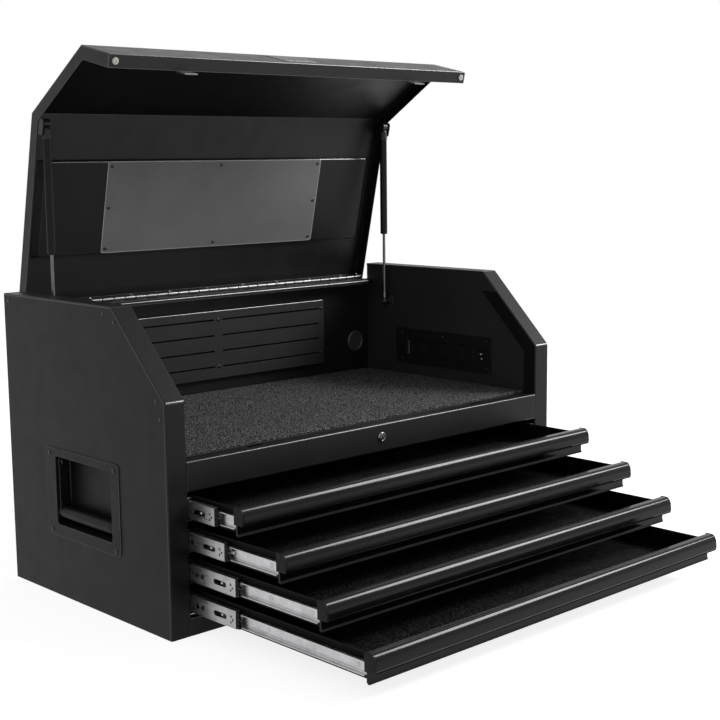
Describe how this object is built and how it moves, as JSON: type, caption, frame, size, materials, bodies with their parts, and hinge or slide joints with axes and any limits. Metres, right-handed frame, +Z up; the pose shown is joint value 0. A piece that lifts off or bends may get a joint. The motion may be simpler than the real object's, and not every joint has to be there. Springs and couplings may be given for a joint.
{
  "type": "tool chest",
  "caption": "Sloped-front steel machinist tool chest with a lift-up lid on gas struts, full-width drawers on ball-bearing slides, drop side handles and an outlet strip.",
  "frame": {"origin": "centre of the cabinet's footprint, at the level it stands on", "axes": "+Z up, -Y out of the drawer fronts, +X to the right as seen from the front"},
  "size_m": [0.9194, 0.9226, 0.9275],
  "materials": {
    "black_paint": "satin black powder coat",
    "gloss_pull": "gloss black lacquer",
    "plate_paint": "satin grey paint",
    "black_plastic": "moulded satin",
    "zinc": "bright zinc plate",
    "bright_steel": "bright",
    "lock_chrome": "polished",
    "mat": "fine speckled grain",
    "dark_screws": "black oxide",
    "bumper": "matt",
    "switch_black": "glossy"
  },
  "bodies": {
    "cabinet": {"side_panel_left": "black_paint", "side_panel_right": "black_paint", "liner_left": "black_paint", "liner_right": "black_paint", "back_panel": "black_paint", "base_pan": "black_paint", "top_rail": "black_paint", "compartment_floor": "black_paint", "compartment_mat": "mat", "vent_panel": "black_paint", "cable_grommet": "black_plastic", "power_strip": "black_plastic", "hinge_leaf_cabinet": "bright_steel", "hinge_pin": "bright_steel", "lock_body": "lock_chrome", "handle_pocket_left": "black_paint", "handle_pocket_right": "black_paint", "cabinet_screws": "bright_steel", "slide_channels": "zinc", "strut_studs_cabinet": "zinc"},
    "lid": {"lid_shell": "black_paint", "lid_stiffener": "black_paint", "lid_plate": "plate_paint", "lid_screws": "dark_screws", "lid_bumpers": "bumper", "lid_hooks": "zinc", "hinge_leaf_lid": "bright_steel", "strut_studs_lid": "zinc"},
    "strut_rod_left_body": {"strut_rod_left": "bright_steel"},
    "strut_tube_left_body": {"strut_tube_left": "black_plastic"},
    "handle_left": {"handle_bail_left": "black_paint"},
    "strut_rod_right_body": {"strut_rod_right": "bright_steel"},
    "strut_tube_right_body": {"strut_tube_right": "black_plastic"},
    "handle_right": {"handle_bail_right": "black_paint"},
    "drawer_1": {"drawer_1_tray": "black_paint", "drawer_1_pull": "gloss_pull", "drawer_1_end_caps": "black_plastic", "drawer_1_runners": "zinc", "drawer_1_liner": "mat"},
    "slide_mid_1": {"slide_1_middle": "zinc"},
    "drawer_2": {"drawer_2_tray": "black_paint", "drawer_2_pull": "gloss_pull", "drawer_2_end_caps": "black_plastic", "drawer_2_runners": "zinc", "drawer_2_liner": "mat"},
    "slide_mid_2": {"slide_2_middle": "zinc"},
    "drawer_3": {"drawer_3_tray": "black_paint", "drawer_3_pull": "gloss_pull", "drawer_3_end_caps": "black_plastic", "drawer_3_runners": "zinc", "drawer_3_liner": "mat"},
    "slide_mid_3": {"slide_3_middle": "zinc"},
    "drawer_4": {"drawer_4_tray": "black_paint", "drawer_4_pull": "gloss_pull", "drawer_4_end_caps": "black_plastic", "drawer_4_runners": "zinc", "drawer_4_liner": "mat"},
    "slide_mid_4": {"slide_4_middle": "zinc"},
    "lock": {"lock_plug": "lock_chrome"},
    "rocker": {"power_switch": "switch_black"}
  },
  "joints": [
    {"name": "lid_hinge", "type": "hinge", "parent": "cabinet", "child": "lid", "pos_m": [0, 0.2398, 0.4856], "axis": [1, 0, 0], "range_deg": [0, 77], "stiffness_Nm_per_rad": 3, "springref_deg": -148.97},
    {"name": "strut_left_pivot", "type": "hinge", "parent": "cabinet", "child": "strut_rod_left_body", "pos_m": [-0.4015, 0.16521, 0.4379], "axis": [1, 0, 0], "range_deg": [0, 79.61]},
    {"name": "strut_left_stroke", "type": "slide", "parent": "strut_rod_left_body", "child": "strut_tube_left_body", "axis": [0, 0, 1], "range_m": [-0.1096, 0]},
    {"name": "strut_right_pivot", "type": "hinge", "parent": "cabinet", "child": "strut_rod_right_body", "pos_m": [0.4015, 0.16521, 0.4379], "axis": [1, 0, 0], "range_deg": [0, 79.61]},
    {"name": "strut_right_stroke", "type": "slide", "parent": "strut_rod_right_body", "child": "strut_tube_right_body", "axis": [0, 0, 1], "range_m": [-0.1096, 0]},
    {"name": "drawer_1_slide", "type": "slide", "parent": "cabinet", "child": "drawer_1", "axis": [0, -1, 0], "range_m": [-0.1155, 0.2845]},
    {"name": "slide_1_middle_run", "type": "slide", "parent": "cabinet", "child": "slide_mid_1", "axis": [0, -1, 0], "range_m": [-0.0761, 0.1873]},
    {"name": "drawer_2_slide", "type": "slide", "parent": "cabinet", "child": "drawer_2", "axis": [0, -1, 0], "range_m": [-0.2127, 0.1873]},
    {"name": "slide_2_middle_run", "type": "slide", "parent": "cabinet", "child": "slide_mid_2", "axis": [0, -1, 0], "range_m": [-0.0991, 0.08728]},
    {"name": "drawer_3_slide", "type": "slide", "parent": "cabinet", "child": "drawer_3", "axis": [0, -1, 0], "range_m": [-0.3015, 0.0985]},
    {"name": "slide_3_middle_run", "type": "slide", "parent": "cabinet", "child": "slide_mid_3", "axis": [0, -1, 0], "range_m": [-0.1241, 0.04061]},
    {"name": "drawer_4_slide", "type": "slide", "parent": "cabinet", "child": "drawer_4", "axis": [0, -1, 0], "range_m": [-0.397, 0.003]},
    {"name": "slide_4_middle_run", "type": "slide", "parent": "cabinet", "child": "slide_mid_4", "axis": [0, -1, 0], "range_m": [-0.1231, 0.00103]},
    {"name": "handle_left_swing", "type": "hinge", "parent": "cabinet", "child": "handle_left", "pos_m": [-0.4457, 0.0025, 0.235], "axis": [0, 1, 0], "range_deg": [0, 90]},
    {"name": "handle_right_swing", "type": "hinge", "parent": "cabinet", "child": "handle_right", "pos_m": [0.4457, 0.0025, 0.235], "axis": [0, -1, 0], "range_deg": [0, 90]},
    {"name": "lock_turn", "type": "hinge", "parent": "cabinet", "child": "lock", "pos_m": [0, -0.229, 0.257], "axis": [0, -1, 0], "range_deg": [0, 90]},
    {"name": "rocker_tilt", "type": "hinge", "parent": "cabinet", "child": "rocker", "pos_m": [0.4272, -0.096, 0.3407], "axis": [0, 1, 0], "range_deg": [0, 14]}
  ],
  "couplings": [
    {"joint": "strut_left_pivot", "follows": "lid_hinge", "ratio": 1.0326},
    {"joint": "strut_left_stroke", "follows": "lid_hinge", "m_per_rad": -0.081407},
    {"joint": "strut_right_pivot", "follows": "lid_hinge", "ratio": 1.0326},
    {"joint": "strut_right_stroke", "follows": "lid_hinge", "m_per_rad": -0.081407},
    {"joint": "slide_1_middle_run", "follows": "drawer_1_slide", "ratio": 0.65801},
    {"joint": "slide_2_middle_run", "follows": "drawer_2_slide", "ratio": 0.46544},
    {"joint": "slide_3_middle_run", "follows": "drawer_3_slide", "ratio": 0.41128},
    {"joint": "slide_4_middle_run", "follows": "drawer_4_slide", "ratio": 0.30982}
  ]
}
